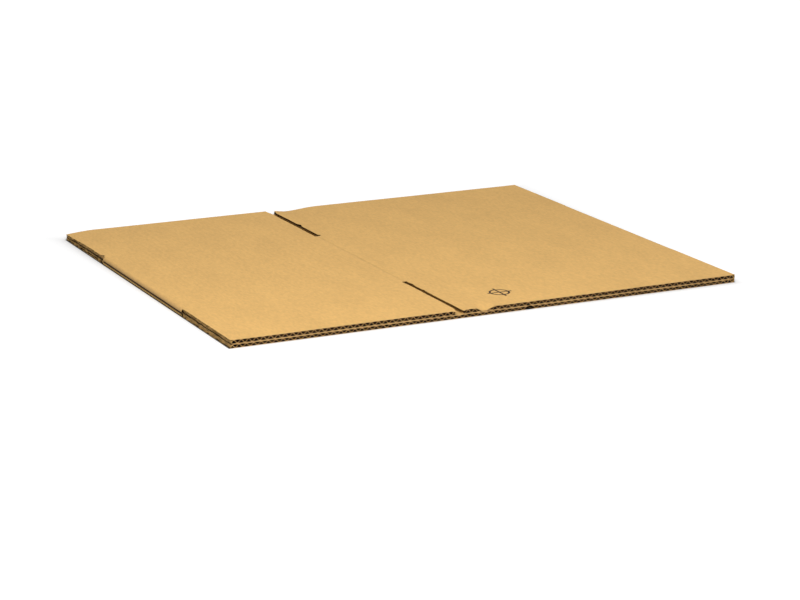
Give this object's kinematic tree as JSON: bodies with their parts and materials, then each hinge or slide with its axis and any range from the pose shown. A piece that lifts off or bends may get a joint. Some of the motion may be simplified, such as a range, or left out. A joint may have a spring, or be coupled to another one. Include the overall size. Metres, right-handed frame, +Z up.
{
  "type": "flattened cardboard box",
  "caption": "Regular slotted carton of kraft corrugated board, glued and folded flat into two layers, with open flutes along its front and back edges.",
  "frame": {"origin": "middle of the underside, level with the surface it lies on", "axes": "+X along the front edge towards the wide upper panel, +Y to the back along the flutes, +Z up through both layers"},
  "size_m": [0.58, 0.48, 0.0085],
  "materials": {
    "kraft_board": "matt brown kraft liner over a corrugated medium"
  },
  "bodies": {
    "root": {"flattened_box": "kraft_board"}
  },
  "joints": []
}
